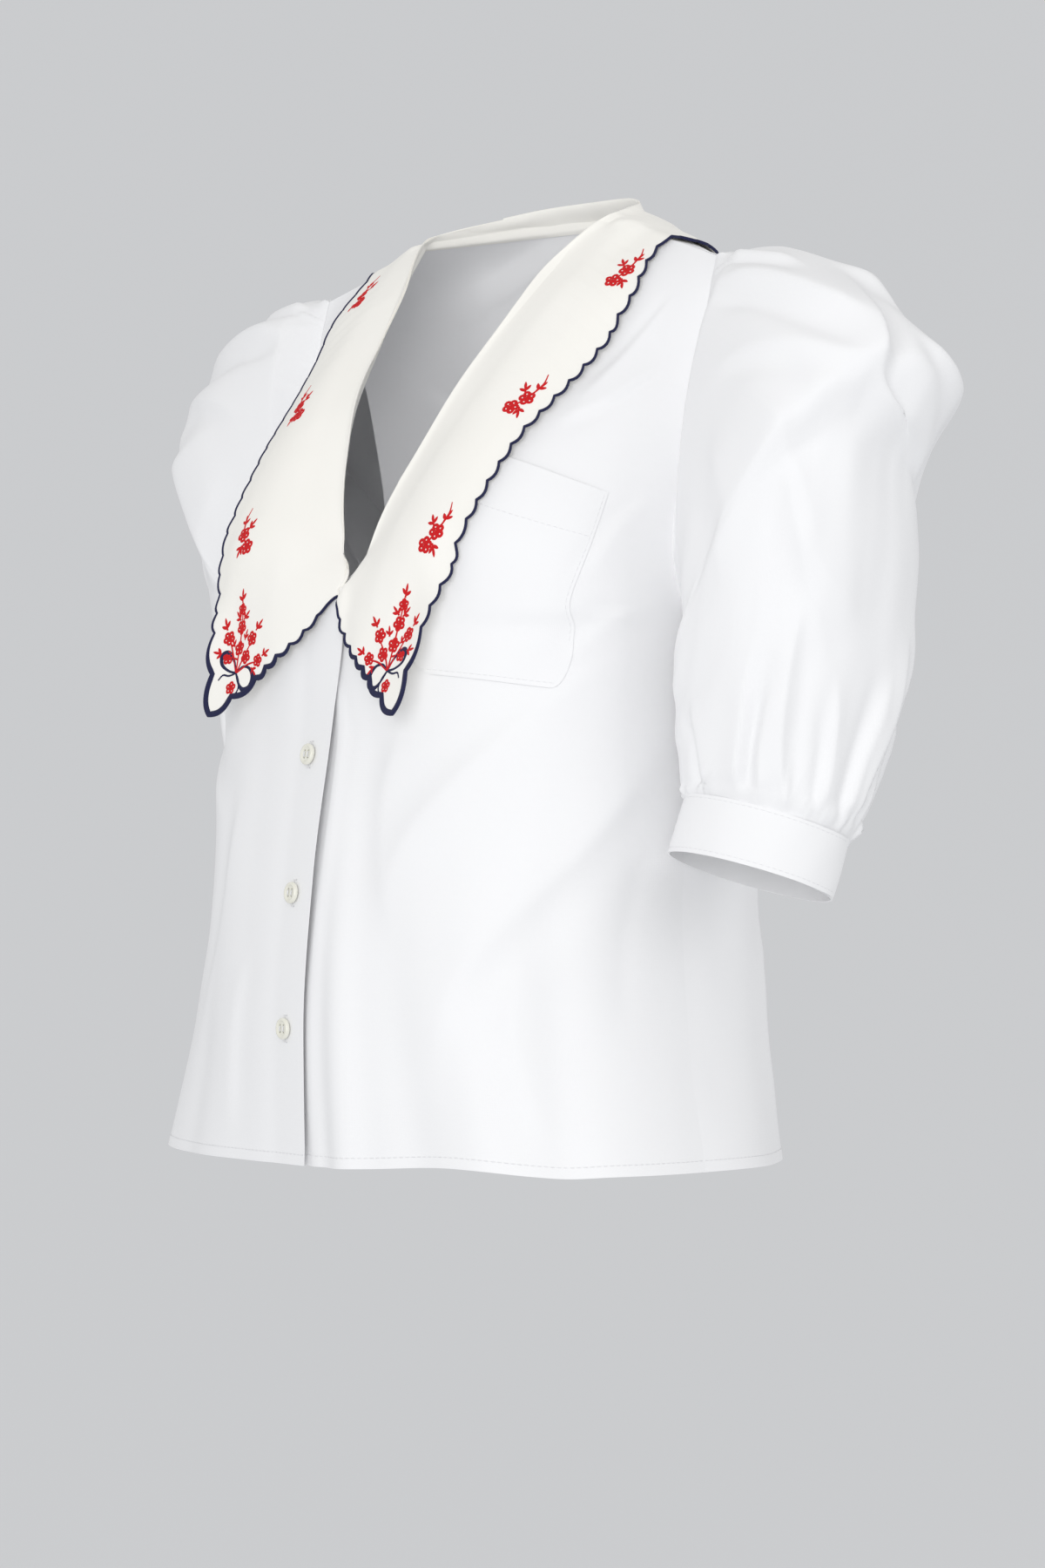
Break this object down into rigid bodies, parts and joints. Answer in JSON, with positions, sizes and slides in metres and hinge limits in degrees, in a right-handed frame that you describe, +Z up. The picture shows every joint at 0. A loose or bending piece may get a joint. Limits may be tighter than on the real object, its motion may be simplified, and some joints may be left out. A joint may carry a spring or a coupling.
{
  "type": "shirt",
  "caption": "Boxy cotton shirt in the hollow form it has when worn: large pointed collar with a scalloped edge, puffed elbow sleeves gathered into cuffs, chest pocket and button front.",
  "frame": {"origin": "in the middle of the neck opening, level with the neck ends of the shoulder seams, where the garment hangs from what wears it", "axes": "+Z up, -Y the front of the garment, +X the wearer's left"},
  "size_m": [0.5846, 0.2813, 0.5498],
  "materials": {
    "cotton": "crisp white poplin, matt",
    "collar_cotton": "ivory cotton with satin-stitch embroidery",
    "button": "pearly, slightly glossy"
  },
  "bodies": {
    "root": {"front_right": "cotton", "front_left": "cotton", "back": "cotton", "sleeve_left": "cotton", "sleeve_right": "cotton", "cuff_left": "cotton", "cuff_right": "cotton", "pocket": "cotton", "collar": "collar_cotton", "button_1": "button", "button_2": "button", "button_3": "button"}
  },
  "joints": []
}
